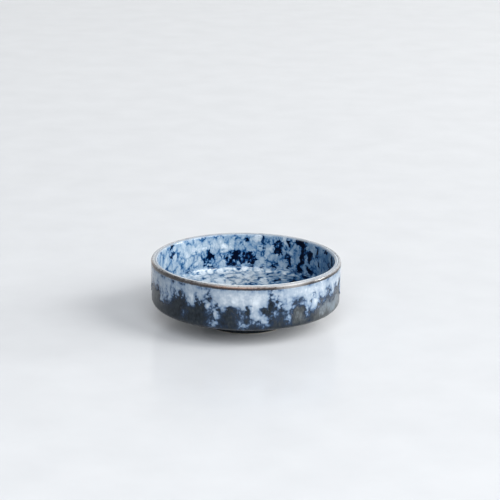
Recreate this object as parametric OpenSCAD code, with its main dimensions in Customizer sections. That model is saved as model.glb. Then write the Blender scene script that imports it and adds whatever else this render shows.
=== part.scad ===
// Small straight-sided stoneware dish on a foot ring, with a pale glaze that has run over a dark one.
// The origin is the middle of the foot's resting face, and the front of the dish is -Y.

/* [Dish] */
// Outside diameter at the rim, over the glaze
rim_d = 95; // [80:1:120]
// Height from the table to the top of the lip
height = 33; // [27:0.5:45]
// Thickness of the clay floor beside the heel
floor_t = 2.4; // [1.8:0.1:8]
// Thickness of the clay wall
clay_wall = 2.1; // [1.6:0.1:4]
// Radius of the glazed lip on its outer edge
lip_outer_r = 1.1; // [0.9:0.1:1.6]
// Radius of the glazed lip on its inner edge
lip_inner_r = 1; // [0.9:0.1:1.6]
// Radius of the glazed hollow where the floor turns up into the wall
well_fillet = 2.8; // [1:0.1:6]
// Radius of the glazed heel where the wall turns under
heel_r = 2.9; // [1:0.1:5]

/* [Foot] */
// Outside diameter of the foot ring, over the glaze
foot_d = 42; // [32:1:60]
// Height of the foot ring from the table to the clay underside
foot_h = 9.3; // [5:0.1:11]
// Thickness of the foot ring's clay
foot_wall = 3.4; // [2.4:0.1:6]
// Radius on the two lower edges of the foot ring
foot_edge_r = 0.5; // [0.3:0.1:0.6]
// Width of the flat underside that is left outside the foot ring
seat_margin = 3.5; // [1:0.5:8]
// Rise of the underside from that flat to the heel
underside_rise = 1.2; // [0.2:0.1:2]

/* [Glaze] */
// Full coat, on the well, the lip and the upper wall
coat_t = 0.6; // [0.45:0.05:0.8]
// Dark base coat alone, on the lower wall and under the dish
base_t = 0.3; // [0.15:0.05:0.4]
// Depth of the brown band on the outside, from the top of the lip
band_drop = 2; // [1.8:0.1:4]
// Depth down to which the pale glaze is unbroken, from the top of the lip
run_drop = 7.5; // [4.5:0.5:12]
// Swelling of a run's round tip against the run's own width
tip_swell = 1.06; // [1.02:0.02:1.3]
// Spread of a run on each side, from its tip up to the brown band
run_flare = 2.4; // [0.5:0.1:4]
// Bare clay left above the resting face of the foot
bare_foot = 0.6; // [0.6:0.1:3]
// Radius of the glaze that pools in the corner between the foot and the underside
pool_r = 0.9; // [0.4:0.1:2]

/* [Hidden] */
$fn = 180;
// Reach of a cutting shape past the surface that it cuts
past = 1;

// Runs of the pale glaze: [angle from the front, width, fall of the tip from the top of the lip]
runs = [
    [-78, 8, 11.4], [-70, 8, 12.6], [-60.5, 5, 16.5], [-56.5, 4.5, 15.2], [-51.5, 4.5, 14.8], [-43, 6.5, 10.2],
    [-33.5, 6, 12.2], [-27, 4, 10.4], [-18, 3.2, 17.6], [-13, 8, 12.2], [-6, 6.5, 10.6], [-1, 3, 12.6],
    [6, 7.5, 18], [11, 2.8, 19.4], [20.5, 6, 13], [26, 3.4, 18.4], [33, 8, 8.6], [39.5, 2.6, 18.6],
    [44.5, 7, 16], [53, 8, 11.4], [64, 4.5, 12.2], [72, 9, 9.4], [82, 5, 15.4], [91, 8, 11],
    [100, 4, 18], [109, 8, 12], [119, 6, 16.2], [128, 8, 10], [138, 4.5, 18.6], [147, 7, 13],
    [157, 8, 10.4], [166, 4.5, 17], [175, 7, 13.4], [184, 8, 10.2], [194, 4, 18.8], [203, 7, 14],
    [213, 9, 11], [222, 4.5, 17.4], [231, 7, 12.8], [240, 5.5, 15.6], [249, 8, 10.4], [259, 4.5, 17.8],
    [268, 8, 12.4], [276, 5, 15.2]
];

// The clay under the coats
clay_r = rim_d / 2 - coat_t;
clay_inner_r = clay_r - clay_wall;
clay_top = height - coat_t;
clay_heel_z = foot_h + underside_rise;
clay_floor = clay_heel_z + floor_t;
clay_heel_r = heel_r - base_t;
clay_well_r = well_fillet + coat_t;
clay_lip_outer_r = lip_outer_r - coat_t;
clay_lip_inner_r = lip_inner_r - coat_t;
foot_r = foot_d / 2 - base_t;
foot_inner_r = foot_r - foot_wall;
seat_r = foot_r + seat_margin;

// Where one coat ends and the next begins
lip_mid_r = clay_r - clay_wall / 2;
band_z = height - band_drop;
run_z = height - run_drop;

// What rounding takes off a square corner that points the given way, such as [1, -1] for out and down
module corner_2d(corner, r, way) {
    reach = r + past;
    translate(corner - r * way)
        difference() {
            polygon([[0, 0], [way.x * reach, 0], way * reach, [0, way.y * reach]]);
            circle(r);
        }
}

// Rectangle of a half section, from one radius and height to another
module slab_2d(low_r, high_r, low_z, high_z) {
    translate([low_r, low_z])
        square([high_r - low_r, high_z - low_z]);
}

// Half section of the dish with its well filled, grown by a coat of thickness t
module outside_2d(t) {
    difference() {
        union() {
            slab_2d(0, clay_r + t, clay_heel_z - t, clay_top + t);
            polygon([
                [0, foot_h - t],
                [seat_r, foot_h - t],
                [clay_r - clay_heel_r, clay_heel_z - t],
                [0, clay_heel_z - t]
            ]);
        }
        corner_2d([clay_r + t, clay_heel_z - t], clay_heel_r + t, [1, -1]);
        corner_2d([clay_r + t, clay_top + t], clay_lip_outer_r + t, [1, 1]);
    }
}

// Half section of the well, shrunk by a coat of thickness t and opened by the round of the lip
module well_2d(t) {
    difference() {
        slab_2d(0, clay_inner_r - t, clay_floor + t, height + past);
        corner_2d([clay_inner_r - t, clay_floor + t], clay_well_r - t, [1, -1]);
    }
    corner_2d([clay_inner_r - t, clay_top + t], clay_lip_inner_r + t, [-1, 1]);
}

// Half section of the dish's wall and floor, with a coat of thickness t on all sides
module dish_2d(t) {
    difference() {
        outside_2d(t);
        well_2d(t);
    }
}

// Half section of the dark coat on one wall of the foot, with the pool in its upper corner.
// The side is 1 for the outer wall and -1 for the inner one.
module foot_coat_2d(wall_r, side) {
    coat_r = wall_r + side * base_t;
    coat_z = foot_h - base_t;
    pool = coat_r + side * pool_r;
    slab_2d(min(wall_r, coat_r), max(wall_r, coat_r), bare_foot, foot_h);
    difference() {
        slab_2d(min(coat_r, pool), max(coat_r, pool), coat_z - pool_r, coat_z);
        translate([pool, coat_z - pool_r])
            circle(pool_r);
    }
}

// Prism through the wall in the outline of one run, which narrows down to a swollen round tip
module run_prism(angle, width, fall) {
    tip_r = width * tip_swell / 2;
    tip_z = height - fall + tip_r;
    rotate([0, 0, angle])
        translate([0, -clay_inner_r, 0])
            rotate([90, 0, 0])
                linear_extrude(clay_wall + coat_t + past) {
                    polygon([
                        [-width / 2, tip_z],
                        [width / 2, tip_z],
                        [width / 2 + run_flare, band_z],
                        [-width / 2 - run_flare, band_z]
                    ]);
                    translate([0, tip_z])
                        circle(tip_r);
                }
}

module bowl_body() {
    color([0.66, 0.58, 0.49])
        rotate_extrude()
            dish_2d(0);
}

module foot_ring() {
    color([0.6, 0.52, 0.44])
        rotate_extrude()
            difference() {
                slab_2d(foot_inner_r, foot_r, 0, foot_h);
                corner_2d([foot_inner_r, 0], foot_edge_r, [-1, -1]);
                corner_2d([foot_r, 0], foot_edge_r, [1, -1]);
            }
}

module base_glaze() {
    color([0.2, 0.2, 0.2])
        rotate_extrude() {
            difference() {
                intersection() {
                    outside_2d(base_t);
                    slab_2d(foot_r, rim_d, 0, band_z);
                }
                outside_2d(0);
            }
            foot_coat_2d(foot_r, 1);
        }
}

module outside_glaze() {
    color([0.74, 0.8, 0.88])
        intersection() {
            rotate_extrude()
                difference() {
                    intersection() {
                        outside_2d(coat_t);
                        slab_2d(clay_inner_r, rim_d, 0, band_z);
                    }
                    outside_2d(base_t);
                }
            union() {
                translate([0, 0, run_z])
                    cylinder(h = run_drop, r = rim_d);
                for (run = runs)
                    run_prism(run[0], run[1], run[2]);
            }
        }
}

module inside_glaze() {
    color([0.55, 0.66, 0.8])
        rotate_extrude()
            difference() {
                intersection() {
                    dish_2d(coat_t);
                    slab_2d(0, lip_mid_r, clay_floor, height + past);
                }
                dish_2d(0);
            }
}

module rim_band() {
    color([0.5, 0.36, 0.24])
        rotate_extrude()
            difference() {
                intersection() {
                    dish_2d(coat_t);
                    slab_2d(lip_mid_r, rim_d, band_z, height + past);
                }
                dish_2d(0);
            }
}

module foot_well_glaze() {
    color([0.22, 0.22, 0.22])
        rotate_extrude() {
            slab_2d(0, foot_inner_r, foot_h - base_t, foot_h);
            foot_coat_2d(foot_inner_r, -1);
        }
}

bowl_body();
foot_ring();
base_glaze();
outside_glaze();
inside_glaze();
rim_band();
foot_well_glaze();
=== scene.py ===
"""A small stoneware dish: a mottled blue well, an iron-brown lip and a pale glaze run over charcoal."""
import math

import bmesh
import bpy
import numpy as np
from mathutils import Matrix, Vector


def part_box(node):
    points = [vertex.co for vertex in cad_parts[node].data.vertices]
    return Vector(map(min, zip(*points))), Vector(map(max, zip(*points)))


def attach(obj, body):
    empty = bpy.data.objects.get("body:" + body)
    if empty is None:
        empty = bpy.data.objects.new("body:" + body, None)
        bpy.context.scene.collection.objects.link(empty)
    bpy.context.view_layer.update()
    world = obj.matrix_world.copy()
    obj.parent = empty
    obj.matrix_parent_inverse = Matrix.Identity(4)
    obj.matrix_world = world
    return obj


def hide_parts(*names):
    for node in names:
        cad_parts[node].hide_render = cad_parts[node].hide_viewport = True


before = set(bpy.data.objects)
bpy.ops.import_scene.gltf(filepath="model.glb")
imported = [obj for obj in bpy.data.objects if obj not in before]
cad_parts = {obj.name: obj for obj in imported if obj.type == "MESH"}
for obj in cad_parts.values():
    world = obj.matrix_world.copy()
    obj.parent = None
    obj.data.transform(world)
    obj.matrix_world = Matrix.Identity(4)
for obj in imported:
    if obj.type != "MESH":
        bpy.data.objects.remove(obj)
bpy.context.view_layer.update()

MM = 0.001
BOX_STEP = 0.05 * MM


def near(value):
    """A size from the frame, without what its facets take off a circle."""
    return round(value / BOX_STEP) * BOX_STEP


# Sizes that the frame gives
RIM_R = near(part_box("outside_glaze")[1].x)
BASE_R = near(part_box("base_glaze")[1].x)
CLAY_R = near(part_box("bowl_body")[1].x)
LIP_MID_R = near(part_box("inside_glaze")[1].x)
FOOT_R = near(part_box("foot_ring")[1].x)
TOP = near(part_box("inside_glaze")[1].z)
BAND_Z = near(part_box("rim_band")[0].z)
RUN_LOW = near(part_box("outside_glaze")[0].z)
CLAY_TOP = near(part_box("bowl_body")[1].z)
CLAY_SEAT = near(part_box("bowl_body")[0].z)
CLAY_FLOOR = near(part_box("inside_glaze")[0].z)
BARE_Z = near(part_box("base_glaze")[0].z)

# Sizes that follow from those
COAT = RIM_R - CLAY_R
BASE_COAT = BASE_R - CLAY_R
RUN_COAT = RIM_R - BASE_R
CLAY_WELL_R = 2 * LIP_MID_R - CLAY_R
WELL_R = CLAY_WELL_R - COAT
FLOOR = CLAY_FLOOR + COAT
SEAT = CLAY_SEAT - BASE_COAT
FOOT_COAT_R = FOOT_R + BASE_COAT

# Share of the foot's bare height in the frame that stays bare here
BARE_SHARE = 0.7
BARE_LINE = BARE_Z * BARE_SHARE

# Sizes of the section that no box shows
LIP_OUTER_ROUND = 1.1 * MM
LIP_INNER_ROUND = 1.0 * MM
WELL_ROUND = 2.8 * MM
HEEL_ROUND = 2.9 * MM
FOOT_ROUND = 0.9 * MM
UNDERSIDE_RISE = 1.2 * MM
FLAT_WIDTH = 3.5 * MM
SEAT_R = FOOT_R + FLAT_WIDTH

# How finely the coats are cut: a coat is spun over one sector, which is doubled until it goes all around
DOUBLINGS = 4
SECTORS = 2 ** DOUBLINGS
WALL_STEPS = 640
WELL_STEPS = 480
ROUND_STEPS = 8
WALL_ROW = 0.45 * MM
FLOOR_ROW = 1.2 * MM
WELD = 0.001 * MM

# Round edge of the pale coat: its width in millimetres, and the least share of the coat's thickness
EDGE_WIDTH = 1.0
THINNEST = 0.08

# Veins, the thin places of the pale coat: width of their edge in millimetres, the share that they take off
# its thickness, and the millimetres that they take off the depth that its colour goes by
VEIN_WIDTH = 0.6
VEIN_LOSS = 0.6
VEIN_DEPTH = 1.4

# Depth in millimetres past which a run gets no paler, and share of the distance that counts outside a run
DEEPEST = 3.2
HALO = 0.65

# Share of the pale glaze's mottling that is left where it is deepest, and on charcoal this far from its edge
DEEP_MOTTLE = 0.45
BARE_MOTTLE = 0.25
BARE_REACH = 1.6

# Depth in millimetres that the mottling adds on average
MOTTLE_GAIN = 0.3

# Softness in millimetres of the corners where two runs or two veins meet
RUN_SOFTNESS = 0.4
VEIN_SOFTNESS = 0.2

# Random waves that take the straight edges off the glazes, with their size and their reach
WAVES = 12
WAVE_SEED = 7
RUN_WAVE = (2.4 * MM, 0.6 * MM)
VEIN_WAVE = (1.8 * MM, 0.8 * MM)
CAST_WAVE = (4 * MM, 1 * MM)
POOL_WAVE = (5 * MM, 1 * MM)
POOL_RIPPLE = (1.8 * MM, 0.7 * MM)
WASH_WAVE = (5 * MM, 1.5 * MM)
SPECK_WAVE = (1 * MM, 0.2 * MM)

# Runs of the pale glaze down the wall, in degrees from the front and in millimetres:
# angle, width, and fall of the tip from the top of the lip
RUNS = [
    (-78, 8, 11.4), (-70, 8, 12.6), (-60.5, 5, 16.5), (-56.5, 4.5, 15.2), (-51.5, 4.5, 14.8),
    (-43, 6.5, 10.2), (-33.5, 6, 12.2), (-27, 4, 10.4), (-18, 3.2, 17.6), (-13, 8, 12.2), (-6, 6.5, 10.6),
    (-1, 3, 12.6), (6, 7.5, 18), (11, 2.8, 19.4), (20.5, 6, 13), (26, 3.4, 18.4), (33, 8, 8.6),
    (39.5, 2.6, 18.6), (44.5, 7, 16), (53, 8, 11.4), (64, 4.5, 12.2), (72, 9, 9.4), (82, 5, 15.4),
    (91, 8, 11), (100, 4, 18), (109, 8, 12), (119, 6, 16.2), (128, 8, 10), (138, 4.5, 18.6), (147, 7, 13),
    (157, 8, 10.4), (166, 4.5, 17), (175, 7, 13.4), (184, 8, 10.2), (194, 4, 18.8), (203, 7, 14),
    (213, 9, 11), (222, 4.5, 17.4), (231, 7, 12.8), (240, 5.5, 15.6), (249, 8, 10.4), (259, 4.5, 17.8),
    (268, 8, 12.4), (276, 5, 15.2),
]

# Fall in millimetres to which the pale glaze is whole, and what a run's half width gains up to the lip
RUN_DROP = 7.5
RUN_FLARE = 2.4

# Drops of pale glaze below the runs: angle, fall from the lip, half width and half height
DROPS = [
    (-40, 15.4, 1.0, 1.2), (-22, 11.6, 2.3, 2.2), (-18.6, 19.5, 1.6, 1.0), (-3, 14.4, 0.8, 1.2),
    (-2.8, 19.9, 1.0, 0.9), (0.4, 19.3, 1.5, 1.0), (14.3, 16.2, 1.2, 1.0), (16.8, 14.6, 1.3, 1.2),
    (35, 10.7, 1.4, 0.7), (88, 17.4, 1.5, 1.2), (113, 17, 1.3, 1.5), (131, 14.5, 1.7, 1.5),
    (152, 17, 1.3, 1.6), (171, 18.8, 1.2, 1.0), (188, 15, 1.8, 1.6), (208, 17.6, 1.3, 1.4),
    (226, 14.8, 1.5, 1.5), (245, 18.6, 1.3, 1.0), (263, 14.6, 1.5, 1.6),
]

# Room that the drops take below the lowest run
DROP_ROOM = 3 * MM

# Veins in the pale glaze, where the dark shows: angle, fall to its top, fall to its foot, and half width
VEINS = [
    (-44, 13, 17, 0.8), (-42.2, 6.5, 14.2, 0.9), (-29.5, 9, 14, 0.8), (-26, 9.6, 14, 0.7),
    (-22, 4, 6.5, 0.6), (-20, 6.5, 8, 0.7), (-19.6, 9.5, 15.5, 0.6), (-18, 8, 9.6, 0.7),
    (-17.4, 9.6, 11.4, 0.9), (-16.2, 9.6, 11.6, 0.8), (1.5, 10, 12.6, 0.8), (11, 11.4, 13.4, 0.8),
    (14.5, 10, 13, 0.7), (14.6, 2, 8, 0.3), (15.6, 4.5, 10, 0.7), (19.5, 5, 9, 0.4), (22, 10, 12, 0.6),
    (42.6, 9.6, 10.4, 0.5), (43.8, 6.4, 7.2, 0.7), (44.8, 7.8, 9.2, 0.7), (46, 3.2, 4, 0.2),
    (77, 7.5, 15, 0.9), (104.5, 6, 14, 0.9), (133, 7, 16, 1.0), (162, 5.5, 15, 0.9), (198.5, 6.5, 14, 1.2),
    (217, 7.5, 14, 0.8), (254, 6, 15, 1.0),
]

# Thinner and thicker patches of the pale glaze: angle, fall, half width, half height and depth
PATCHES = [
    (-74, 11, 8, 4, -0.8), (-60.5, 16.8, 2.5, 1.2, -1.2), (-59, 13.7, 2.8, 2.2, 2.2),
    (-57, 13.5, 11, 5, -1.6), (-54, 5, 24, 8, -0.6), (-53, 12.4, 2, 2.4, 2.0), (-46.5, 9, 3, 2.4, 0.9),
    (-37.5, 9.4, 3, 2.4, 1.4), (-33, 14, 4, 2, -0.8), (-32.5, 10, 3.5, 2.4, 1.2),
    (-22.4, 11.4, 1.8, 1.8, 1.8), (-18.4, 17.4, 3, 0.7, -1.0), (-18.4, 19.3, 1.8, 0.9, 1.2),
    (-17.6, 14.6, 1.6, 2.2, 1.4), (-4, 8.5, 12, 2.6, 2.0), (-3, 5, 12, 4, 0.8),
    (-1, 19.4, 3, 1, 1.0), (1.6, 12.4, 1.6, 2.4, -1.2), (6, 16.4, 4, 1.6, 0.8), (6.5, 12, 3, 3.5, -0.6),
    (11.4, 12.2, 2, 2.4, -1.6), (11.5, 18.4, 2, 1.2, 1.0), (20, 6, 4, 6, -0.4), (25.5, 13, 2, 4, -0.5),
    (33, 4, 8, 4, 1.0), (33, 10.6, 5, 1.8, 1.6), (33, 14.5, 4, 4.5, -2.4), (35, 10.7, 1.4, 0.7, 1.4),
    (44, 12.5, 4.5, 2.5, 0.6), (44, 16.5, 4, 2, -0.8), (54, 7, 9, 3, 0.1), (60, 12, 12, 3.5, 0.6),
    (65.5, 12, 3, 2.5, -1.1), (70, 7, 8, 4, 0.2), (110, 5, 14, 5, -0.6), (160, 7, 16, 5, 1.0),
    (215, 5, 14, 5, -0.6), (255, 7, 12, 5, 0.8),
]

# Thin band of the pale glaze under the lip: what it takes off the depth, its fall and its half width
LIP_THIN = 1.6
LIP_THIN_FALL = 2
LIP_THIN_WIDTH = 1.8

# Greyer patches of the charcoal: angle, fall from the lip, half width, half height and amount. Those on the
# right of the wall, at 56 and 76 degrees, are partly painted sheen where the window glances off it
CASTS_AND_SHEEN = [
    (-72, 14, 12, 7, 1.1), (-8, 15, 6, 5, 0.35), (20, 18, 8, 4, 0.45), (33, 13, 6, 8, 0.85),
    (56, 14, 15, 8, 1.3), (76, 16, 18, 10, 1.1), (110, 16, 12, 6, 0.6), (155, 17, 12, 5, 0.7),
    (205, 18, 10, 5, 0.5), (245, 16, 14, 6, 0.7),
]

# Dark pools on the wall of the well: angle from the back, fall from the lip, half width and half height
POOLS = [
    (-150, 14, 3, 3), (-131, 6.5, 1.8, 4), (-115, 15, 2.4, 2.2), (-96, 4.4, 2.4, 1.6), (-80, 12, 1.4, 3),
    (-59.5, 1.4, 1.4, 1), (-59, 6.6, 0.8, 1.6), (-29, 15.4, 1.4, 1.6), (-25.5, 11.6, 2.6, 2.4),
    (-24.4, 16.4, 1.4, 1.2), (-12.6, 13.4, 1.3, 2), (-10.6, 16, 1.6, 1.8), (-6, 11.6, 1.7, 2.6),
    (-3.4, 15, 1.2, 1.6), (-0.5, 3.4, 0.9, 1.2), (0.8, 12, 1.8, 2.4), (3.6, 15.8, 1.3, 1.4),
    (11, 2.2, 1, 2), (11, 7.2, 0.9, 1), (20.5, 17, 0.8, 2), (20.6, 10.4, 0.9, 1.6), (22, 6, 2.2, 2.6),
    (24.6, 8.6, 1.2, 1.8), (30.5, 10.8, 1.5, 3), (30.5, 16, 0.8, 2), (31, 3.6, 1, 1.6),
    (39.6, 15.4, 1.3, 2.4), (40.6, 2.2, 3, 2.2), (41.8, 9.6, 1.2, 4), (47, 7.4, 1.2, 2),
    (49, 15.4, 1.4, 1.8), (55, 4, 0.8, 1.6), (58, 10, 0.8, 2), (67, 1.4, 2.2, 0.9), (72, 8, 0.8, 2),
    (78, 3.4, 1.8, 2), (95, 9, 2.4, 4), (112, 5, 3, 2.4), (121, 14, 2.4, 3), (138, 8, 1.6, 5),
    (150, 15, 3, 2.6), (168, 4, 2.6, 1.8), (176, 12, 2, 4),
]

# Dark pools on the floor of the well: place to the right, place to the back, and radius
FLOOR_POOLS = [
    (-9, 30, 1.2), (-7.5, 19, 1.2), (-0.6, 35, 1.2), (-4.8, 30, 1), (4.2, 20, 1.2), (7.2, 28, 1.2),
    (17, 27, 1.8), (12, 35, 1.2), (26, 19, 2.4), (31, 27, 2), (24, 9, 2), (-22, 11, 1.6), (-30, 19, 1.4),
    (-14, -1, 2), (4, 3, 1.4), (14, -7, 2), (-4, -16, 1.8), (-26, -12, 2), (6, -30, 2), (30, -14, 2),
    (-14, -30, 1.8), (36, 6, 1.8),
]

# Depth of the pools on the wall and on the floor, their reach beyond their size, their length on the floor,
# what they lose in the hollow corner, and the share of the corner's height where the wall's pools begin
POOL_DEPTH = 0.6
FLOOR_POOL_DEPTH = 0.35
POOL_SPREAD = 1.05
POOL_LENGTH = 1.6
CORNER_LOSS = 1.2
CORNER_START = 0.1

# Pale and dark washes of the well's wall: angle from the back, fall, half width, half height and amount.
# The pale wash at -50 is partly painted light on the left of the well, where the window falls, and the dark
# wash at 62 is partly painted shade on its right, which faces away from the window
WASHES_AND_SHADING = [
    (-150, 12, 12, 8, -0.1), (-110, 9, 20, 12, 0.15), (-50, 9, 18, 12, 0.1), (-36, 8, 6, 10, 0.1),
    (-16, 6, 6, 5, 0.16), (-2, 14, 8, 5, -0.2), (5, 5, 4, 6, 0.2), (15, 8, 3, 5, 0.1), (20, 14, 6, 4, -0.1),
    (28, 3, 4, 2.5, 0.3), (36, 13, 9, 7, -0.2), (62, 9, 18, 14, -0.34), (120, 9, 16, 12, -0.2),
    (170, 8, 20, 10, 0.2),
]

# Pale and dark washes of the well's floor: place to the right, place to the back, radius and amount.
# The dark wash on the right is partly painted shade from the right wall of the well
FLOOR_WASHES_AND_SHADE = [
    (29, 23, 11, -0.5), (-8, 24, 24, 0.65), (-24, -10, 16, 0.25), (10, -24, 18, 0.25), (16, 2, 12, 0.15),
]

# Pale ring where the floor turns up into the wall, partly thick pooled glaze and partly painted highlight:
# its radius, its half width and its amount
RING_R = 41.5
RING_WIDTH = 2.4
RING_WASH_AND_HIGHLIGHT = 0.25

# Mottling of the well: how pale it is by itself, size of its cells and of the finer cracks in them, and how
# much deeper the seams are on the floor
MIDDLE_PALENESS = 0.95
CELL = 2.9 * MM
CRACK = 1.5 * MM
FLOOR_SEAMS = 1.4

# Clear gloss over the wall and the floor of the well, and how much of the mottling shows on the lip
WALL_GLASS = 0.3
FLOOR_GLASS = 0.6
LIP_MOTTLE = 0.15

# Rust-coloured stretches of the lip: angle and half width in millimetres
RUST = [(-128, 12), (-82, 6), (-5, 12), (128, 12), (182, 9)]

# Darker and paler stretches of the lip: angle, half width in millimetres, and amount. The darker stretch at
# -48 is partly painted shade, and the paler ones at 24 and 32 are partly painted highlight
SHADES_AND_LIGHT = [
    (-120, 20, 0.1), (-48, 20, 0.7), (-12, 8, -0.1), (10, 8, 0.05), (24, 9, -0.5), (32, 9, -0.4),
    (58, 12, -0.25), (110, 20, 0.2), (170, 24, -0.3),
]

# How far a shade of 1 lifts the lip's brown, and the least shade that moves it
SHADE_REACH = 0.4 * MM
LEAST_SHADE = -0.4

# Shade below which the lip's brown turns pale, as partly painted highlight, and how pale it is at a shade of
# -1
PALE_SHADE = -0.3
PALE_SHARE = 0.55

# Angles from the front between which the inner half of the lip goes from white to bluish grey; the white is
# partly pale glaze and partly painted highlight
WHITE_START = 20
WHITE_END = 75

# Dark iron specks on the lip: angle, fall from the lip, and radius in millimetres
SPECKS = [
    (-144, 0.9, 0.5), (-101, 1, 0.6), (-70, 0.8, 0.5), (-48, 0.9, 0.6), (-33, 1.1, 0.4), (7.5, 0.8, 0.8),
    (14, 1.1, 0.5), (17.5, 0.9, 0.6), (22, 1.2, 0.4), (58, 0.9, 0.5), (63, 1.1, 0.4), (72, 0.8, 0.6),
    (96, 1, 0.5), (121, 0.8, 0.6), (152, 1.1, 0.4), (176, 0.9, 0.6),
]

# Where the camera stands, and where the middle of the foot is in the picture
PHOTO_SIDE = 500
EYE_DISTANCE = 0.9
EYE_ELEVATION = math.radians(18.71)
EYE_ROLL = math.radians(0.74)
FOCAL_PX = 1779
FOOT_PX = (245.3, 320.7)
SENSOR = 36

# Brightness of the room on the left and on the right, its shares from level to overhead, and its tint
ROOM_SIDES = (0.75, 1.55)
ROOM_HEIGHTS = (0, 0.2, 0.28, 0.42, 0.5, 1)
ROOM_SHARES = (1, 1, 0.54, 0.54, 0.1, 0.1)
ROOM_TINT = (0.97, 0.985, 1)

# Table that the dish stands on, in metres
TABLE_R = 4
TABLE_SIDES = 96


def tone(red, green, blue):
    """A colour given as on a screen, from 0 to 255, as Blender's linear one."""
    linear = []
    for value in (red, green, blue):
        share = value / 255
        linear.append(share / 12.92 if share <= 0.04045 else ((share + 0.055) / 1.055) ** 2.4)
    return (*linear, 1)


# Where the glazes lie


def unrolled(points):
    """Angle from the front in degrees, and fall from the lip in millimetres, of points in metres."""
    angle = np.degrees(np.arctan2(points[:, 0], -points[:, 1]))
    return angle, (TOP - points[:, 2]) / MM


def arc(angle, centre):
    """Distance in millimetres around the wall from the centre angle."""
    turn = (angle - centre + 180) % 360 - 180
    return np.radians(turn) * RIM_R / MM


def joined(parts, softness):
    """The largest of several depths, with a soft corner where two are alike."""
    return softness * np.logaddexp.reduce(np.array(parts) / softness, axis=0)


def wavering(points, size, reach):
    """The points, each shifted at random by up to about the reach, in waves of about the given size."""
    random = np.random.default_rng(WAVE_SEED)
    slopes = random.normal(0, math.tau / (2 * size), (3, 3, WAVES))
    starts = random.uniform(0, math.tau, (3, WAVES))
    shifts = [np.sin(points @ slope + start).mean(axis=1) for slope, start in zip(slopes, starts)]
    return points + np.stack(shifts, axis=1) * reach * math.sqrt(WAVES)


def run_depth(points):
    """How far in millimetres a place on the wall lies inside the pale glaze, or below 0 outside it."""
    angle, fall = unrolled(wavering(points, *RUN_WAVE))
    band = (TOP - BAND_Z) / MM
    parts = [RUN_DROP - fall]
    for centre, width, tip_fall in RUNS:
        tip_r = width / 2
        tip = tip_fall - tip_r
        across = np.abs(arc(angle, centre))
        up = tip - fall
        stem = tip_r + RUN_FLARE * np.clip(up / (tip - band), 0, 1) - across
        parts.append(np.where(up > 0, stem, tip_r - np.hypot(across, up)))
    for centre, middle, half_width, half_height in DROPS:
        away = np.hypot(arc(angle, centre) / half_width, (fall - middle) / half_height)
        parts.append(min(half_width, half_height) * (1 - away))
    return joined(parts, RUN_SOFTNESS)


def vein_depth(points):
    """How far in millimetres a place on the wall lies inside a vein of the pale glaze, or below 0 outside."""
    angle, fall = unrolled(wavering(points, *VEIN_WAVE))
    parts = []
    for centre, top, foot, half in VEINS:
        beyond = fall - np.clip(fall, top, foot)
        parts.append(half - np.hypot(arc(angle, centre), beyond))
    return joined(parts, VEIN_SOFTNESS)


def pool_depth(points):
    """How deep a place in the well lies in a dark pool: above 0 inside one, and down to -1 away from them."""
    shifted = wavering(wavering(points, *POOL_WAVE), *POOL_RIPPLE)
    angle, fall = unrolled(shifted)
    rise = (points[:, 2] - FLOOR) / WELL_ROUND
    wall = np.full(len(points), -1.0)
    for centre, middle, half_width, half_height in POOLS:
        away = np.hypot(arc(angle, 180 - centre) / half_width, (fall - middle) / half_height)
        wall = np.maximum(wall, POOL_DEPTH * (1 - (away / POOL_SPREAD) ** 2))
    wall -= CORNER_LOSS * np.clip(1 - rise, 0, 1)
    floor = np.full(len(points), -1.0)
    for right, back, radius in FLOOR_POOLS:
        away = np.hypot(shifted[:, 0] / MM - right, (shifted[:, 1] / MM - back) / POOL_LENGTH) / radius
        floor = np.maximum(floor, FLOOR_POOL_DEPTH - away / POOL_SPREAD)
    return np.clip(np.where(rise > CORNER_START, wall, floor), -1, 1)


def washed(angle, fall, patches):
    """Sum of soft patches, each largest in its middle, on an unrolled wall."""
    total = np.zeros(len(angle))
    for centre, middle, half_width, half_height, amount in patches:
        across = arc(angle, centre) / half_width
        down = (fall - middle) / half_height
        total += amount * np.exp(-across ** 2 - down ** 2)
    return total


def colour_depth(points):
    """Depth in millimetres that the colour of the pale glaze goes by, which veins and patches change."""
    angle, fall = unrolled(points)
    thin = np.clip(1 + vein_depth(points) / VEIN_WIDTH, 0, 2)
    near_lip = LIP_THIN * np.exp(-((fall - LIP_THIN_FALL) / LIP_THIN_WIDTH) ** 2)
    depth = np.minimum(run_depth(points), DEEPEST)
    faded = np.where(depth > 0, depth, depth * HALO)
    return faded - VEIN_DEPTH * thin + washed(angle, fall, PATCHES) - near_lip


def coat_thickness(depth, vein):
    """Thickness of the pale coat: a round edge, the full coat within it, and less in a vein."""
    edge = np.clip(depth / EDGE_WIDTH, 0, 1)
    full = np.sqrt(edge * (2 - edge))
    thinned = 1 - VEIN_LOSS * np.clip(vein / VEIN_WIDTH + 1, 0, 1)
    return RUN_COAT * np.maximum(full * thinned, THINNEST)


def cast_and_sheen_share(points):
    """How much greyer than usual the charcoal is at a place on the wall, partly painted sheen on its right.
    """
    angle, fall = unrolled(wavering(points, *CAST_WAVE))
    return washed(angle, fall, CASTS_AND_SHEEN)


def well_wash_and_shading(points):
    """How much paler than usual the glaze of the well is at a place, partly painted light and painted shade.
    """
    angle, fall = unrolled(wavering(points, *WASH_WAVE))
    wall = washed(180 - angle, fall, WASHES_AND_SHADING)
    right, back = points[:, 0] / MM, points[:, 1] / MM
    # Painted highlight along the hollow corner, on top of its pooled glaze
    floor = RING_WASH_AND_HIGHLIGHT * np.exp(-((np.hypot(right, back) - RING_R) / RING_WIDTH) ** 2)
    for centre_right, centre_back, radius, amount in FLOOR_WASHES_AND_SHADE:
        floor += amount * np.exp(-((right - centre_right) ** 2 + (back - centre_back) ** 2) / radius ** 2)
    return np.where(points[:, 2] > FLOOR + WELL_ROUND / 2, wall, floor)


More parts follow.
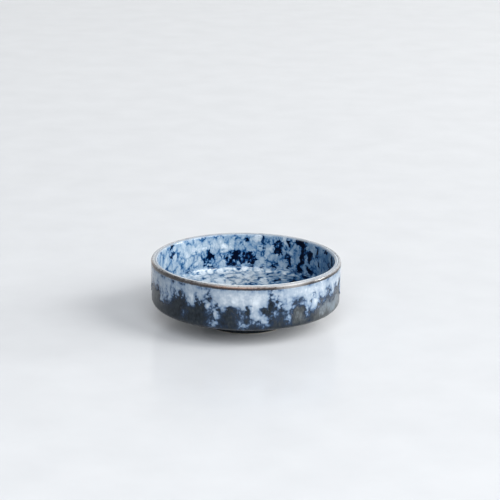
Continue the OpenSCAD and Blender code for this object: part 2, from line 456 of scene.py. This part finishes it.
def rust_share(points):
    """How rusty a place on the lip is, from 0 to 1."""
    angle, _ = unrolled(points)
    return sum(np.exp(-(arc(angle, centre) / half) ** 2) for centre, half in RUST)


def lip_white_and_highlight(points):
    """How white the inner half of the lip is at a place, partly painted highlight: 1 at the front, and 0 at
    the sides and the back.
    """
    angle, _ = unrolled(points)
    return np.clip((WHITE_END - np.abs(angle)) / (WHITE_END - WHITE_START), 0, 1)


def lip_shade_and_light(points):
    """How much darker than usual the glaze of the lip is at a place, partly painted shade and painted
    highlight.
    """
    angle, _ = unrolled(points)
    return sum(amount * np.exp(-(arc(angle, centre) / half) ** 2) for centre, half, amount in SHADES_AND_LIGHT)


def speck_share(points):
    """How deep a place on the lip lies inside a dark speck, from 0 at its edge to 1 in its middle."""
    angle, fall = unrolled(wavering(points, *SPECK_WAVE))
    depth = np.zeros(len(points))
    for centre, middle, radius in SPECKS:
        depth = np.maximum(depth, 1 - np.hypot(arc(angle, centre), fall - middle) / radius)
    return depth


# Shapes


def add_chain(bm, points):
    """Adds a chain of edges through (radius, height, rounding) points, and rounds its corners."""
    verts = [bm.verts.new((radius, 0, height)) for radius, height, _ in points]
    for start, end in zip(verts, verts[1:]):
        bm.edges.new((start, end))
    for radius, height, rounding in points:
        if rounding:
            bmesh.ops.bevel(bm, geom=[corner(bm, (radius, height))], offset=rounding, offset_type="OFFSET",
                            segments=ROUND_STEPS, profile=0.5, affect="VERTICES", material=-1)


def corner(bm, point):
    """The point of a chain that lies at this radius and height."""
    place = Vector((point[0], 0, point[1]))
    return min(bm.verts, key=lambda vert: (vert.co - place).length)


def cut_rows(bm):
    """Cuts the long edges of a chain: walls into fine rows, and floors into wider ones."""
    for edge in bm.edges[:]:
        start, end = (vert.co for vert in edge.verts)
        steep = abs(end.z - start.z) > abs(end.x - start.x)
        cuts = int(edge.calc_length() / (WALL_ROW if steep else FLOOR_ROW))
        if cuts:
            bmesh.ops.subdivide_edges(bm, edges=[edge], cuts=cuts)


def turned(steps, face, back=(), closed=True):
    """A coat turned about the axis: its face is cut into rows, and its back lies on what carries it."""
    bm = bmesh.new()
    add_chain(bm, face)
    cut_rows(bm)
    if back:
        add_chain(bm, back)
        bm.edges.new((corner(bm, face[-1]), corner(bm, back[0])))
        if closed:
            bm.edges.new((corner(bm, back[-1]), corner(bm, face[0])))
    turn = math.tau / SECTORS
    bmesh.ops.spin(bm, geom=bm.verts[:] + bm.edges[:], cent=(0, 0, 0), axis=(0, 0, 1), angle=turn,
                   steps=steps // SECTORS)
    for _ in range(DOUBLINGS):
        copy = bmesh.ops.duplicate(bm, geom=bm.verts[:] + bm.edges[:] + bm.faces[:])["geom"]
        verts = [part for part in copy if isinstance(part, bmesh.types.BMVert)]
        bmesh.ops.rotate(bm, verts=verts, cent=(0, 0, 0), matrix=Matrix.Rotation(turn, 3, "Z"))
        turn *= 2
    bmesh.ops.remove_doubles(bm, verts=bm.verts, dist=WELD)
    bmesh.ops.recalc_face_normals(bm, faces=bm.faces)
    return bm


def places(verts):
    """Where points of a mesh lie, as the rows of an array."""
    return np.array([vert.co for vert in verts])


def set_layer(bm, name, values):
    """Keeps one number for each point of the piece, for its material to read."""
    layer = bm.verts.layers.float.new(name)
    for vert, value in zip(bm.verts, values):
        vert[layer] = value


def add_piece(bm, name, node, material):
    """Adds the piece to the scene, smooth and riding on the dish, in place of its CAD node."""
    mesh = bpy.data.meshes.new(name)
    bm.to_mesh(mesh)
    bm.free()
    mesh.shade_smooth()
    mesh.materials.append(material)
    piece = bpy.data.objects.new(name, mesh)
    bpy.context.scene.collection.objects.link(piece)
    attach(piece, "root")
    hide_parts(node)


def make_well_coat(material):
    """Glaze of the well, from the middle of its floor up over the inner half of the lip."""
    face = [
        (0, FLOOR, 0),
        (WELL_R, FLOOR, WELL_ROUND),
        (WELL_R, TOP, LIP_INNER_ROUND),
        (LIP_MID_R, TOP, 0),
    ]
    back = [
        (LIP_MID_R, CLAY_TOP, 0),
        (CLAY_WELL_R, CLAY_TOP, LIP_INNER_ROUND - COAT),
        (CLAY_WELL_R, CLAY_FLOOR, WELL_ROUND + COAT),
        (0, CLAY_FLOOR, 0),
    ]
    bm = turned(WELL_STEPS, face, back, closed=False)
    points = places(bm.verts)
    set_layer(bm, "pool", pool_depth(points))
    set_layer(bm, "wash_and_shading", well_wash_and_shading(points))
    set_layer(bm, "white", lip_white_and_highlight(points))
    add_piece(bm, "well_coat", "inside_glaze", material)


def make_lip_coat(material):
    """Glaze of the outer half of the lip, where the iron in it shows brown."""
    face = [
        (LIP_MID_R, TOP, 0),
        (RIM_R, TOP, LIP_OUTER_ROUND),
        (RIM_R, BAND_Z, 0),
    ]
    back = [
        (CLAY_R, BAND_Z, 0),
        (CLAY_R, CLAY_TOP, LIP_OUTER_ROUND - COAT),
        (LIP_MID_R, CLAY_TOP, 0),
    ]
    bm = turned(WALL_STEPS, face, back)
    points = places(bm.verts)
    set_layer(bm, "rust", rust_share(points))
    set_layer(bm, "shade", lip_shade_and_light(points))
    set_layer(bm, "speck", speck_share(points))
    add_piece(bm, "lip_coat", "rim_band", material)


def make_wall_coat(material):
    """Charcoal coat on the wall, the underside and the outside of the foot."""
    heel_z = SEAT + UNDERSIDE_RISE
    face = [
        (BASE_R, BAND_Z, 0),
        (BASE_R, heel_z, HEEL_ROUND),
        (SEAT_R, SEAT, 0),
        (FOOT_COAT_R, SEAT, FOOT_ROUND),
        (FOOT_COAT_R, BARE_LINE, 0),
    ]
    back = [
        (FOOT_R, BARE_LINE, 0),
        (FOOT_R, CLAY_SEAT, 0),
        (SEAT_R, CLAY_SEAT, 0),
        (CLAY_R, CLAY_SEAT + UNDERSIDE_RISE, HEEL_ROUND - BASE_COAT),
        (CLAY_R, BAND_Z, 0),
    ]
    bm = turned(WALL_STEPS, face, back)
    points = places(bm.verts)
    set_layer(bm, "run", colour_depth(points))
    set_layer(bm, "cast", cast_and_sheen_share(points))
    add_piece(bm, "wall_coat", "base_glaze", material)


def make_run_coat(material):
    """Pale coat that has run down over the charcoal, in drips with round edges."""
    lowest = RUN_LOW - DROP_ROOM
    bm = turned(WALL_STEPS, [(BASE_R, BAND_Z, 0), (BASE_R, lowest, 0)])
    depth = run_depth(places(bm.verts))
    bm.verts.index_update()
    bare = [face for face in bm.faces if sum(depth[vert.index] for vert in face.verts) < 0]
    bmesh.ops.delete(bm, geom=bare, context="FACES")
    draw_to_edge(bm)
    points = places(bm.verts)
    set_layer(bm, "run", colour_depth(points))
    set_layer(bm, "cast", cast_and_sheen_share(points))
    grown = bmesh.ops.extrude_face_region(bm, geom=bm.faces[:], use_keep_orig=True)["geom"]
    front = [part for part in grown if isinstance(part, bmesh.types.BMVert)]
    points = places(front)
    thickness = coat_thickness(run_depth(points), vein_depth(points))
    for vert, thick in zip(front, thickness):
        vert.co += Vector((vert.co.x, vert.co.y, 0)).normalized() * thick
    bmesh.ops.recalc_face_normals(bm, faces=bm.faces)
    add_piece(bm, "run_coat", "outside_glaze", material)


def draw_to_edge(bm):
    """Moves the points on the free edge of the pale glaze to where its depth is 0."""
    edge = [vert for vert in bm.verts if vert.is_boundary and vert.co.z < BAND_Z - WALL_ROW / 2]
    points = places(edge)
    outward = points * (1, 1, 0) / np.hypot(points[:, 0], points[:, 1])[:, None]
    up = np.array((0, 0, 1.0))
    around = np.cross(up, outward)
    probe = WALL_ROW / 3
    reach = WALL_ROW * 0.7
    depth = run_depth(points)
    slope_around = (run_depth(points + around * probe) - depth) / probe
    slope_up = (run_depth(points + up * probe) - depth) / probe
    # The 1 keeps points on level ground from being moved far
    steepness = slope_around ** 2 + slope_up ** 2 + 1
    move_around = np.clip(-depth * slope_around / steepness, -reach, reach)
    move_up = np.clip(-depth * slope_up / steepness, -reach, reach)
    moved = points + around * move_around[:, None] + up * move_up[:, None]
    moved[:, :2] *= (BASE_R / np.hypot(moved[:, 0], moved[:, 1]))[:, None]
    for vert, place in zip(edge, moved):
        vert.co = place


# Materials

# Values that random patches and random cells vary about
CLOUD_MIDDLE = 0.5
CELL_MIDDLE = 0.42


class Finish:
    """A material made node by node: each call gives the socket that the next one reads."""

    def __init__(self, name):
        self.material = bpy.data.materials.new(name)
        self.material.use_nodes = True
        self.tree = self.material.node_tree
        self.tree.nodes.clear()
        self.shader = self.tree.nodes.new("ShaderNodeBsdfPrincipled")
        output = self.tree.nodes.new("ShaderNodeOutputMaterial")
        self.tree.links.new(self.shader.outputs["BSDF"], output.inputs["Surface"])
        self.place = self.tree.nodes.new("ShaderNodeTexCoord").outputs["Object"]

    def node(self, kind, sockets, **settings):
        """A node with its settings, and with values or links on its sockets."""
        made = self.tree.nodes.new(kind)
        for name, value in settings.items():
            setattr(made, name, value)
        for name, value in sockets.items():
            self.fill(made.inputs[name], value)
        return made

    def fill(self, socket, value):
        """Puts a value on a socket, or links a node's output to it."""
        if isinstance(value, bpy.types.NodeSocket):
            self.tree.links.new(value, socket)
        else:
            socket.default_value = value

    def surface(self, **values):
        """Sets the shader's own sockets, such as base_color or roughness."""
        for socket in self.shader.inputs:
            name = socket.name.lower().replace(" ", "_")
            if name in values:
                self.fill(socket, values[name])

    def math(self, kind, first, second):
        """One calculation of the given kind on two numbers."""
        return self.node("ShaderNodeMath", {0: first, 1: second}, operation=kind).outputs[0]

    def sum(self, first, *others):
        for other in others:
            first = self.math("ADD", first, other)
        return first

    def scaled(self, value, factor, middle=0.0):
        """The value's distance from its middle, times a factor."""
        return self.math("MULTIPLY", self.math("SUBTRACT", value, middle), factor)

    def swing(self, cloud, factor):
        """How far soft random patches go from their middle, times a factor."""
        return self.scaled(cloud, factor, CLOUD_MIDDLE)

    def vector(self, kind, first, second):
        """One calculation of the given kind on two places."""
        return self.node("ShaderNodeVectorMath", {0: first, 1: second}, operation=kind).outputs[0]

    def stretched(self, place, factors):
        """The place, times a factor for each axis: one below 1 draws a pattern out along its axis."""
        return self.vector("MULTIPLY", place, factors)

    def noise(self, place, size, detail=2.0, rough=0.5):
        sockets = {"Vector": place, "Scale": 1 / size, "Detail": detail, "Roughness": rough}
        return self.node("ShaderNodeTexNoise", sockets)

    def cloud(self, place, size, detail=2.0, rough=0.5):
        """Soft random patches of the given size, from about 0.2 to 0.8."""
        return self.noise(place, size, detail, rough).outputs["Fac"]

    def warped(self, place, size, reach):
        """The place, shifted about at random so that a pattern on it loses its straight edges."""
        shift = self.vector("SUBTRACT", self.noise(place, size).outputs["Color"], (CLOUD_MIDDLE,) * 3)
        return self.vector("ADD", place, self.stretched(shift, (reach, reach, reach)))

    def cells(self, place, size, soft=0.0, feature="SMOOTH_F1"):
        """Distance from the middle of cells of the given size, 0 to about 0.7, or from their seams."""
        sockets = {"Vector": place, "Scale": 1 / size}
        if feature == "SMOOTH_F1":
            sockets["Smoothness"] = soft
        return self.node("ShaderNodeTexVoronoi", sockets, feature=feature).outputs["Distance"]

    def attribute(self, name):
        """The number that the piece keeps for each of its points under this name."""
        return self.node("ShaderNodeAttribute", {}, attribute_name=name).outputs["Fac"]

    def spread(self, value, low, high, start=0.0, end=1.0):
        """The value, brought from the range low to high into the range start to end, and kept in it."""
        sockets = {"Value": value, "From Min": low, "From Max": high, "To Min": start, "To Max": end}
        return self.node("ShaderNodeMapRange", sockets).outputs["Result"]

    def ramp(self, share, stops):
        """A colour that goes by a share from 0 to 1, through stops of a share and a colour."""
        made = self.node("ShaderNodeValToRGB", {"Fac": share})
        elements = made.color_ramp.elements
        for position, _ in stops[2:]:
            elements.new(position)
        for element, (position, colour) in zip(elements, stops):
            element.position = position
            element.color = colour
        return made.outputs["Color"]

    def mixed(self, share, first, second):
        """A colour that lies the given share of the way from one to the other."""
        # Several sockets of this node have the same name, so they go by number
        made = self.node("ShaderNodeMix", {0: share, 6: first, 7: second}, data_type="RGBA")
        return made.outputs[2]

    def between(self, share, first, second):
        """A place that lies the given share of the way from one to the other."""
        return self.node("ShaderNodeMix", {0: share, 4: first, 5: second}, data_type="VECTOR").outputs[1]

    def relief(self, height, depth):
        """Fine waves in the surface, which rise by the depth where the height goes from 0 to 1."""
        bump = self.node("ShaderNodeBump", {"Height": height, "Distance": depth, "Strength": 1.0})
        self.surface(normal=bump.outputs["Normal"])


def charcoal_colour(finish, cast):
    """Colour of the dark coat: near black, with bluish grey casts, partly painted sheen on the wall's right.
    """
    clouds = finish.cloud(finish.place, 4 * MM, 4)
    grain = finish.cloud(finish.stretched(finish.place, (1, 1, 0.5)), 0.9 * MM, 3)
    paleness = finish.sum(finish.swing(clouds, 1.6), finish.swing(grain, 2.2), cast)
    return finish.ramp(finish.spread(paleness, -0.4, 1.8), [
        (0.0, tone(8, 17, 25)),
        (0.27, tone(27, 36, 44)),
        (0.5, tone(48, 53, 56)),
        (0.73, tone(70, 75, 78)),
        (1.0, tone(98, 109, 118)),
    ])


def milky_colour(finish, depth, cast):
    """Colour and mottled depth of the pale glaze at a depth in millimetres, down to bare charcoal."""
    place = finish.warped(finish.place, 3 * MM, 1.6 * MM)
    blobs = finish.cells(place, 2.6 * MM, 0.25)
    dots = finish.cells(place, 1.4 * MM, 0.2)
    grain = finish.cloud(finish.place, 1.0 * MM, 4, 0.6)
    patches = finish.cloud(finish.place, 6 * MM, 3)
    streaks = finish.cloud(finish.stretched(place, (1, 1, 0.25)), 0.9 * MM, 3)
    mottle = finish.sum(
        finish.scaled(blobs, -3.2, CELL_MIDDLE),
        finish.scaled(dots, -2.2, CELL_MIDDLE),
        finish.swing(grain, 3.2),
    )
    thick = finish.spread(depth, 0, DEEPEST, 1, DEEP_MOTTLE)
    bare = finish.spread(depth, -BARE_REACH, 0, BARE_MOTTLE, 1)
    mottled_depth = finish.sum(
        depth,
        MOTTLE_GAIN,
        finish.math("MULTIPLY", mottle, finish.math("MULTIPLY", thick, bare)),
        finish.swing(patches, 3.0),
        finish.swing(streaks, 2.4),
    )
    milky = finish.ramp(finish.spread(mottled_depth, -2, 5.5), [
        (0.0, tone(13, 24, 40)),
        (0.18, tone(29, 44, 63)),
        (0.28, tone(56, 75, 99)),
        (0.37, tone(90, 111, 137)),
        (0.5, tone(121, 138, 156)),
        (0.75, tone(150, 162, 175)),
        (1.0, tone(184, 193, 201)),
    ])
    colour = finish.mixed(finish.spread(mottled_depth, -2.4, -0.6), charcoal_colour(finish, cast), milky)
    return colour, mottled_depth


def run_glaze():
    """Pale glaze over charcoal: milky where it is thick, cobalt at its edge, charcoal where it is bare."""
    finish = Finish("run_glaze")
    colour, mottled_depth = milky_colour(finish, finish.attribute("run"), finish.attribute("cast"))
    waves = finish.cloud(finish.place, 3 * MM)
    roughness = finish.spread(mottled_depth, -1.5, 1, 0.3, 0.12)
    finish.surface(base_color=colour, roughness=roughness, specular_ior_level=0.2)
    finish.relief(waves, 0.06 * MM)
    return finish.material


def well_paleness(finish, on_wall):
    """How pale the glaze of the well is: pale cells, darker at their seams and cracks and in pools."""
    place = finish.warped(finish.place, 2.5 * MM, 1.8 * MM)
    across_floor = finish.stretched(place, (0.62, 0.32, 1))
    down_wall = finish.stretched(place, (1, 1, 0.75))
    drawn = finish.between(on_wall, across_floor, down_wall)
    seams = finish.spread(finish.cells(drawn, CELL, feature="DISTANCE_TO_EDGE"), 0, 0.24, 1, 0)
    cracks = finish.spread(finish.cells(drawn, CRACK, feature="DISTANCE_TO_EDGE"), 0, 0.3, 1, 0)
    tints = finish.node("ShaderNodeTexVoronoi", {"Vector": drawn, "Scale": 1 / CELL}).outputs["Color"]
    patches = finish.cloud(finish.place, 6 * MM, 3)
    grain = finish.cloud(finish.place, 0.6 * MM, 3)
    streaks = finish.cloud(finish.stretched(place, (1, 1, 0.2)), 0.7 * MM, 3)
    # The wash holds painted light on the left of the well and painted shade on its right, beside real washes
    wash_and_shading = finish.attribute("wash_and_shading")
    calm = finish.math("MULTIPLY", finish.scaled(finish.math("ABSOLUTE", wash_and_shading, 0.0), 1.4), on_wall)
    depths = finish.spread(finish.cloud(finish.place, 4 * MM), 0.4, 0.65, 0.15, 0.8)
    seam_depth = finish.math("MAXIMUM", finish.math("SUBTRACT", depths, calm), 0.1)
    seam_depth = finish.math("MULTIPLY", seam_depth, finish.spread(on_wall, 0, 1, FLOOR_SEAMS, 1))
    pool = finish.sum(
        finish.attribute("pool"),
        finish.scaled(seams, 0.5),
        finish.scaled(cracks, 0.3),
        finish.swing(grain, 1.3),
    )
    dark = finish.spread(pool, -0.15, 0.95)
    return finish.sum(
        MIDDLE_PALENESS,
        wash_and_shading,
        finish.swing(tints, 0.32),
        finish.swing(patches, 0.9),
        finish.swing(grain, 0.5),
        finish.swing(streaks, 0.5),
        finish.scaled(finish.math("MULTIPLY", seams, seam_depth), -1),
        finish.scaled(finish.math("MULTIPLY", cracks, seam_depth), -0.4),
        finish.scaled(dark, -1.2),
    )


def well_glaze():
    """Mottled blue glaze: pale cells that ran down the wall, with navy where they part and pool."""
    finish = Finish("well_glaze")
    height = finish.node("ShaderNodeSeparateXYZ", {0: finish.place}).outputs["Z"]
    on_wall = finish.spread(height, FLOOR + 1 * MM, FLOOR + 3 * MM)
    pale = well_paleness(finish, on_wall)
    mottled = finish.ramp(finish.spread(pale, -0.3, 1.4), [
        (0.0, tone(1, 8, 28)),
        (0.16, tone(5, 28, 64)),
        (0.32, tone(26, 70, 114)),
        (0.47, tone(72, 112, 150)),
        (0.64, tone(124, 149, 172)),
        (0.82, tone(164, 180, 194)),
        (1.0, tone(208, 218, 226)),
    ])
    fall = finish.math("SUBTRACT", TOP, height)
    # The white of the inner lip is partly pale glaze and partly painted highlight
    lip = finish.mixed(finish.attribute("white"), tone(156, 167, 179), tone(242, 247, 251))
    lip = finish.mixed(LIP_MOTTLE, lip, mottled)
    colour = finish.mixed(finish.spread(fall, 0.15 * MM, 0.7 * MM), lip, mottled)
    waves = finish.cloud(finish.place, 3 * MM)
    near_lip = finish.spread(fall, 0.6 * MM, 1.6 * MM, 1, 0)
    on_floor = finish.spread(height, FLOOR, FLOOR + 0.4 * MM, FLOOR_GLASS, 1)
    below = finish.math("MULTIPLY", on_floor, finish.spread(on_wall, 0, 1, 1, WALL_GLASS))
    bright = finish.math("MAXIMUM", below, near_lip)
    glass = finish.math("MULTIPLY", finish.spread(pale, 0.2, 0.7), bright)
    finish.surface(base_color=colour, roughness=0.12, specular_ior_level=0.05,
                   coat_weight=glass, coat_roughness=0.05)
    finish.relief(waves, 0.035 * MM)
    return finish.material


def iron_colour(finish, fall, shade):
    """Colour of the lip by the fall from its top: rusty in places, grey in others, with flecks and specks."""
    share = finish.spread(fall, 0, 1.5 * MM)
    rusty = finish.ramp(share, [
        (0.0, tone(182, 186, 190)),
        (0.12, tone(160, 157, 156)),
        (0.4, tone(142, 106, 86)),
        (0.58, tone(70, 49, 42)),
        (1.0, tone(32, 29, 32)),
    ])
    grey = finish.ramp(share, [
        (0.0, tone(168, 176, 185)),
        (0.12, tone(146, 149, 153)),
        (0.45, tone(92, 87, 85)),
        (0.62, tone(42, 38, 38)),
        (1.0, tone(26, 27, 31)),
    ])
    iron = finish.mixed(finish.attribute("rust"), grey, rusty)
    flecks = finish.sum(
        finish.swing(finish.cloud(finish.place, 1.3 * MM, 3), 2.2),
        finish.swing(finish.cloud(finish.place, 0.5 * MM, 2), 1.2),
        shade,
    )
    iron = finish.mixed(finish.spread(flecks, 0.1, 0.9), iron, tone(60, 58, 59))
    # Where the shade is low the brown turns pale grey: partly a paler glaze, partly painted highlight
    iron = finish.mixed(finish.spread(shade, -1, PALE_SHADE, PALE_SHARE, 0), iron, tone(186, 184, 184))
    return finish.mixed(finish.spread(finish.attribute("speck"), 0.1, 0.5), iron, tone(58, 44, 38))


def lip_glaze():
    """Thin glaze on the lip: beige on top, rust on the corner, and dark brown where the pale glaze begins."""
    finish = Finish("lip_glaze")
    milky, _ = milky_colour(finish, DEEPEST - LIP_THIN, 0.0)
    height = finish.node("ShaderNodeSeparateXYZ", {0: finish.place}).outputs["Z"]
    waver = finish.sum(
        finish.swing(finish.cloud(finish.place, 2.5 * MM, 3), 0.5 * MM),
        finish.swing(finish.cloud(finish.place, 0.6 * MM, 3), 0.6 * MM),
    )
    shade = finish.attribute("shade")
    lifted = finish.scaled(finish.math("MAXIMUM", shade, LEAST_SHADE), SHADE_REACH)
    fall = finish.sum(finish.math("SUBTRACT", TOP, height), waver, lifted)
    colour = finish.mixed(finish.spread(fall, 1.7 * MM, 2.1 * MM), iron_colour(finish, fall, shade), milky)
    finish.surface(base_color=colour, roughness=0.18)
    finish.relief(finish.cloud(finish.place, 2 * MM), 0.05 * MM)
    return finish.material


def charcoal_glaze():
    """Dark satin glaze alone, in the recess of the foot."""
    finish = Finish("charcoal_glaze")
    finish.surface(base_color=charcoal_colour(finish, 0.2), roughness=0.34, specular_ior_level=0.35)
    finish.relief(finish.cloud(finish.place, 1.2 * MM, 3), 0.05 * MM)
    return finish.material


def bare_clay():
    """Fired stoneware without glaze: sandy, with dark specks of iron."""
    finish = Finish("bare_clay")
    sand = finish.cloud(finish.place, 0.5 * MM, 4)
    patches = finish.cloud(finish.place, 7 * MM, 3)
    body = finish.ramp(finish.spread(finish.sum(sand, finish.swing(patches, 0.8)), 0.25, 0.75), [
        (0.0, tone(150, 141, 129)),
        (1.0, tone(198, 189, 176)),
    ])
    specks = finish.spread(finish.cells(finish.place, 1.1 * MM, 0.1), 0.12, 0.2)
    colour = finish.mixed(specks, tone(74, 62, 52), body)
    finish.surface(base_color=colour, roughness=0.85)
    finish.relief(sand, 0.12 * MM)
    return finish.material


def table_top():
    """Pale satin surface of the table."""
    finish = Finish("table_top")
    grain = finish.cloud(finish.place, 30 * MM, 4)
    colour = finish.ramp(finish.spread(grain, 0.3, 0.7), [
        (0.0, tone(226, 229, 233)),
        (1.0, tone(231, 234, 238)),
    ])
    finish.surface(base_color=colour, roughness=0.22)
    return finish.material


# Stage, light and camera


def make_table():
    """A round table top under the dish."""
    bm = bmesh.new()
    bmesh.ops.create_circle(bm, cap_ends=True, segments=TABLE_SIDES, radius=TABLE_R)
    mesh = bpy.data.meshes.new("table")
    bm.to_mesh(mesh)
    bm.free()
    mesh.materials.append(table_top())
    table = bpy.data.objects.new("table", mesh)
    bpy.context.scene.collection.objects.link(table)


def soft_light(name, azimuth, elevation, distance, size, brightness, colour):
    """A round panel of light that faces the dish from an angle to the right of the front."""
    turn = math.radians(azimuth)
    rise = math.radians(elevation)
    toward = Vector((math.sin(turn) * math.cos(rise), -math.cos(turn) * math.cos(rise), math.sin(rise)))
    panel = bpy.data.lights.new(name, "AREA")
    panel.shape = "DISK"
    panel.size = size
    area = math.pi * size ** 2 / 4
    panel.energy = brightness * math.pi * area
    panel.color = colour[:3]
    light = bpy.data.objects.new(name, panel)
    light.location = toward * distance
    light.rotation_euler = (-toward).to_track_quat("-Z", "Y").to_euler()
    light.visible_camera = False
    bpy.context.scene.collection.objects.link(light)


def light_the_room():
    """Pale surroundings that are brightest near the table and dim overhead."""
    world = bpy.data.worlds.new("room")
    world.use_nodes = True
    tree = world.node_tree
    direction = tree.nodes.new("ShaderNodeTexCoord").outputs["Generated"]
    height = tree.nodes.new("ShaderNodeSeparateXYZ")
    walls = tree.nodes.new("ShaderNodeValToRGB")
    background = tree.nodes["Background"]
    elements = walls.color_ramp.elements
    for position in ROOM_HEIGHTS[2:]:
        elements.new(position)
    for element, position, share in zip(elements, ROOM_HEIGHTS, ROOM_SHARES):
        element.position = position
        element.color = (*(share * tint for tint in ROOM_TINT), 1)
    tree.links.new(direction, height.inputs[0])
    tree.links.new(height.outputs["Z"], walls.inputs["Fac"])
    tree.links.new(walls.outputs["Color"], background.inputs["Color"])
    sides = tree.nodes.new("ShaderNodeMapRange")
    for name, value in zip(("From Min", "From Max", "To Min", "To Max"), (-1, 1, *ROOM_SIDES)):
        sides.inputs[name].default_value = value
    tree.links.new(height.outputs["X"], sides.inputs["Value"])
    tree.links.new(sides.outputs["Result"], background.inputs["Strength"])
    bpy.context.scene.world = world


def light_the_dish():
    """A high and a low window on the right, and a broad soft box in front."""
    light_the_room()
    daylight = tone(255, 253, 250)
    white = tone(250, 252, 255)
    soft_light("window", azimuth=62, elevation=34, distance=3.6, size=2.2, brightness=8.5, colour=daylight)
    soft_light("low_window", azimuth=98, elevation=9, distance=3.6, size=1.2, brightness=20, colour=daylight)
    soft_light("front_box", azimuth=0, elevation=38, distance=4, size=3, brightness=5.3, colour=white)
    bpy.context.scene.view_settings.view_transform = "Standard"


def look_from_the_front():
    """Puts the camera where the photograph was taken from."""
    side = Vector((1, 0, 0))
    ahead = Vector((0, math.cos(EYE_ELEVATION), -math.sin(EYE_ELEVATION)))
    up = side.cross(ahead)
    eye_side = side * math.cos(EYE_ROLL) + up * math.sin(EYE_ROLL)
    eye_up = up * math.cos(EYE_ROLL) - side * math.sin(EYE_ROLL)
    middle = PHOTO_SIDE / 2
    aim_side = (middle - FOOT_PX[0]) / FOCAL_PX
    aim_up = (FOOT_PX[1] - middle) / FOCAL_PX
    aim = (ahead + eye_side * aim_side + eye_up * aim_up).normalized()
    eye_side = (eye_side - aim * eye_side.dot(aim)).normalized()
    eye_up = eye_side.cross(aim)
    lens = bpy.data.cameras.new("eye")
    lens.sensor_fit = "HORIZONTAL"
    lens.sensor_width = SENSOR
    lens.lens = FOCAL_PX * SENSOR / PHOTO_SIDE
    eye = bpy.data.objects.new("eye", lens)
    turn = Matrix((eye_side, eye_up, -aim)).transposed()
    eye.matrix_world = Matrix.LocRotScale(-ahead * EYE_DISTANCE, turn.to_quaternion(), None)
    bpy.context.scene.collection.objects.link(eye)
    bpy.context.scene.camera = eye


# The dish

look_from_the_front()
light_the_dish()
make_table()

pale = run_glaze()
make_wall_coat(pale)
make_run_coat(pale)
make_lip_coat(lip_glaze())
make_well_coat(well_glaze())

clay = bare_clay()
carried_over = {"bowl_body": clay, "foot_ring": clay, "foot_well_glaze": charcoal_glaze()}
for node, material in carried_over.items():
    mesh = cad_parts[node].data
    mesh.materials.clear()
    mesh.materials.append(material)
